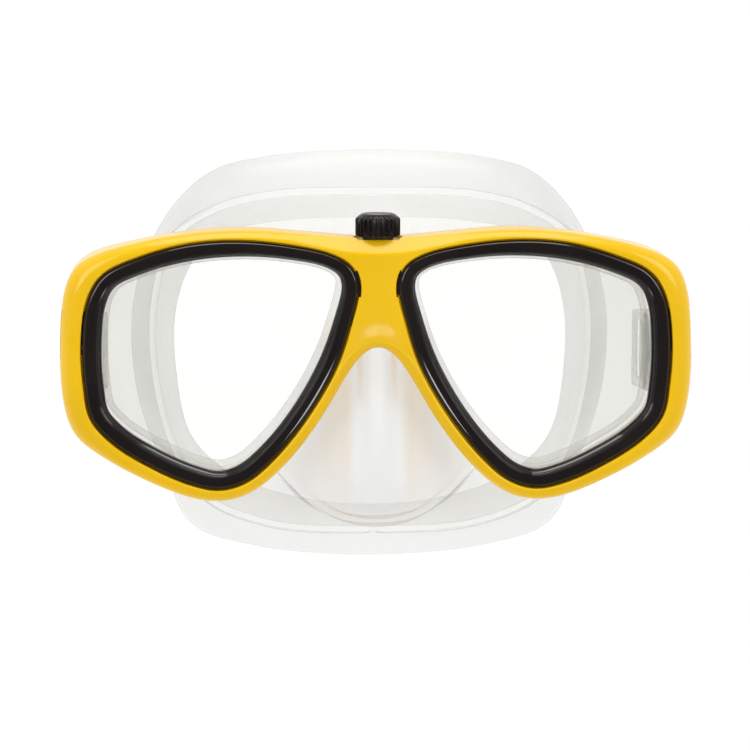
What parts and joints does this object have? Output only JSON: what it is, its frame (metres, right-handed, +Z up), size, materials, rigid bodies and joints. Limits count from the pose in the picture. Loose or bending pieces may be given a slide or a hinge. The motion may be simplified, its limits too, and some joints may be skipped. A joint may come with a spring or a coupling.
{
  "type": "snorkel mask",
  "caption": "Two-window snorkel mask with a rigid frame, swing-out lens units locked by a bridge knob, a clear silicone skirt with a nose pocket, and swivelling strap buckles.",
  "frame": {"origin": "on the face plane between the wearer's eyes, at the depth of the temples' face seal, which is 62 mm behind the front of the windows", "axes": "+Z up, +X to the wearer's left, the windows face -Y and the wearer looks along -Y"},
  "size_m": [0.1734, 0.0636, 0.116],
  "materials": {
    "frame": "glossy moulded",
    "bezel": "glossy moulded",
    "knob": "satin, ribbed",
    "glass": "clear, polished",
    "gasket": "matt",
    "silicone": "clear silicone, slightly milky",
    "clear": "clear moulded",
    "steel": "stainless"
  },
  "bodies": {
    "mask": {"frame": "frame", "skirt": "silicone", "knob_washer": "gasket", "bridge_cover": "bezel", "cover_screw_upper": "steel", "cover_screw_lower": "steel", "buckle_mount_left": "clear", "pivot_rivet_left": "steel", "buckle_mount_right": "clear", "pivot_rivet_right": "steel"},
    "knob": {"knob": "knob", "lock_screw": "steel", "retaining_clip": "steel"},
    "lock": {"lock_wedge": "bezel"},
    "lens_unit_left": {"bezel_left": "bezel", "lens_left": "glass", "lens_gasket_left": "gasket"},
    "buckle_left": {"buckle_body_left": "clear", "roller_pin_left": "steel", "lever_pin_left": "steel", "lever_spring_left": "steel"},
    "roller_left": {"strap_roller_left": "clear"},
    "lever_left": {"release_lever_left": "clear"},
    "lens_unit_right": {"bezel_right": "bezel", "lens_right": "glass", "lens_gasket_right": "gasket"},
    "buckle_right": {"buckle_body_right": "clear", "roller_pin_right": "steel", "lever_pin_right": "steel", "lever_spring_right": "steel"},
    "roller_right": {"strap_roller_right": "clear"},
    "lever_right": {"release_lever_right": "clear"}
  },
  "joints": [
    {"name": "knob_turn", "type": "hinge", "parent": "mask", "child": "knob", "pos_m": [0, -0.055, 0.031], "axis": [0, 0, 1], "range_deg": [0, 720]},
    {"name": "lock_slide", "type": "slide", "parent": "mask", "child": "lock", "axis": [0, 0, 1], "range_m": [-0.002, 0]},
    {"name": "lens_unit_swing_left", "type": "hinge", "parent": "mask", "child": "lens_unit_left", "pos_m": [0.0798, -0.05478, 0.005], "axis": [0, 0, 1], "range_deg": [0, 30]},
    {"name": "buckle_swivel_left", "type": "hinge", "parent": "mask", "child": "buckle_left", "pos_m": [0.07996, -0.02908, -0.005], "axis": [0.9781, 0.2079, 0], "range_deg": [-25, 25]},
    {"name": "roller_spin_left", "type": "hinge", "parent": "buckle_left", "child": "roller_left", "pos_m": [0.07915, -0.01085, -0.005], "axis": [0, 0, 1], "continuous": true},
    {"name": "lever_tilt_left", "type": "hinge", "parent": "buckle_left", "child": "lever_left", "pos_m": [0.08208, -0.01984, -0.005], "axis": [0, 0, 1], "range_deg": [-6, 0], "stiffness_Nm_per_rad": 0.05},
    {"name": "lens_unit_swing_right", "type": "hinge", "parent": "mask", "child": "lens_unit_right", "pos_m": [-0.0798, -0.05478, 0.005], "axis": [0, 0, -1], "range_deg": [0, 30]},
    {"name": "buckle_swivel_right", "type": "hinge", "parent": "mask", "child": "buckle_right", "pos_m": [-0.07996, -0.02908, -0.005], "axis": [-0.9781, 0.2079, 0], "range_deg": [-25, 25]},
    {"name": "roller_spin_right", "type": "hinge", "parent": "buckle_right", "child": "roller_right", "pos_m": [-0.07915, -0.01085, -0.005], "axis": [0, 0, 1], "continuous": true},
    {"name": "lever_tilt_right", "type": "hinge", "parent": "buckle_right", "child": "lever_right", "pos_m": [-0.08208, -0.01984, -0.005], "axis": [0, 0, -1], "range_deg": [-6, 0], "stiffness_Nm_per_rad": 0.05}
  ],
  "couplings": [
    {"joint": "knob_turn", "follows": "lock_slide", "rad_per_m": -6283.2}
  ]
}
